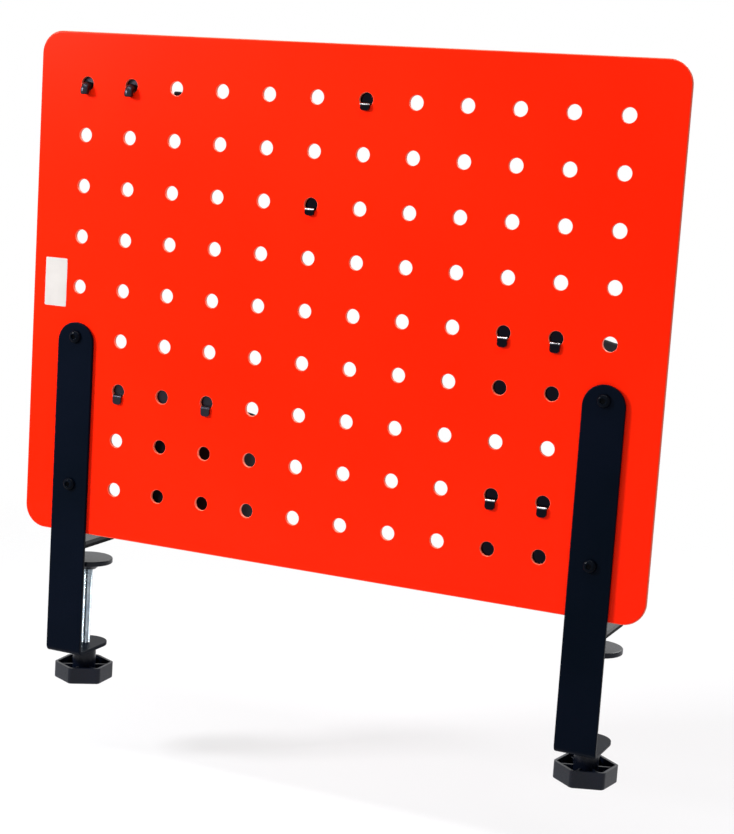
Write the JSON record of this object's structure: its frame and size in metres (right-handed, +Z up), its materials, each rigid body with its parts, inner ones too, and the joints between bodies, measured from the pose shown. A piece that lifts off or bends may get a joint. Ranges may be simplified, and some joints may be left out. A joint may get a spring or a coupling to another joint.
{
  "type": "desk edge peg board organizer",
  "caption": "Holed sheet-steel board on two desk clamps, with drawer units, a round cup and hooks hung in its peg holes.",
  "frame": {"origin": "where the top face of the clamped desk meets its rear edge, midway between the clamps: the plane of the jaw pads' undersides and the plane of the clamp arms' front faces", "axes": "+X to the right seen from the desk, +Y away from the user so the drawers open along -Y, +Z up"},
  "size_m": [0.526, 0.1158, 0.5305],
  "materials": {
    "board_coat": "satin red powder coat on sheet steel",
    "black_coat": "satin black powder coat on flat bar",
    "accessory_coat": "satin black powder coat on sheet steel and bar",
    "black_plastic": "fine-textured moulded black plastic",
    "pad_rubber": "matt black rubber",
    "spindle_steel": "bright zinc-plated threaded steel",
    "black_screw": "black oxide steel",
    "zinc": "bright zinc plate",
    "label_film": "blank matt white film"
  },
  "bodies": {
    "frame": {"peg_board": "board_coat", "label_blank": "label_film", "clamp_arm_left": "black_coat", "jaw_left": "black_coat", "jaw_pad_left": "pad_rubber", "clamp_arm_right": "black_coat", "jaw_right": "black_coat", "jaw_pad_right": "pad_rubber", "arm_screws": "black_screw", "arm_washers": "zinc", "arm_nuts": "zinc", "drawer_housing_upper": "accessory_coat", "drawer_housing_lower": "accessory_coat", "cup": "accessory_coat", "cup_hanger": "accessory_coat", "rod_hook_outer": "accessory_coat", "rod_hook_inner": "accessory_coat", "strip_hook_upper": "accessory_coat", "strip_hook_lower": "accessory_coat"},
    "pressure_left": {"pressure_plate_left": "black_plastic"},
    "screw_left": {"spindle_left": "spindle_steel", "knob_left": "black_plastic"},
    "pressure_right": {"pressure_plate_right": "black_plastic"},
    "screw_right": {"spindle_right": "spindle_steel", "knob_right": "black_plastic"},
    "drawer_body_upper": {"drawer_upper": "accessory_coat"},
    "drawer_body_lower": {"drawer_lower": "accessory_coat"}
  },
  "joints": [
    {"name": "pressure_travel_left", "type": "slide", "parent": "frame", "child": "pressure_left", "axis": [0, 0, 1], "range_m": [-0.0601, 0]},
    {"name": "knob_turn_left", "type": "hinge", "parent": "pressure_left", "child": "screw_left", "pos_m": [-0.22, -0.031, -0.1], "axis": [0, 0, 1], "range_deg": [-17280, 0]},
    {"name": "pressure_travel_right", "type": "slide", "parent": "frame", "child": "pressure_right", "axis": [0, 0, 1], "range_m": [-0.0601, 0]},
    {"name": "knob_turn_right", "type": "hinge", "parent": "pressure_right", "child": "screw_right", "pos_m": [0.22, -0.031, -0.1], "axis": [0, 0, 1], "range_deg": [-17280, 0]},
    {"name": "drawer_slide_upper", "type": "slide", "parent": "frame", "child": "drawer_body_upper", "axis": [0, -1, 0], "range_m": [0, 0.06]},
    {"name": "drawer_slide_lower", "type": "slide", "parent": "frame", "child": "drawer_body_lower", "axis": [0, -1, 0], "range_m": [0, 0.06]}
  ],
  "couplings": [
    {"joint": "pressure_travel_left", "follows": "knob_turn_left", "m_per_rad": 0.00019894},
    {"joint": "pressure_travel_right", "follows": "knob_turn_right", "m_per_rad": 0.00019894}
  ]
}
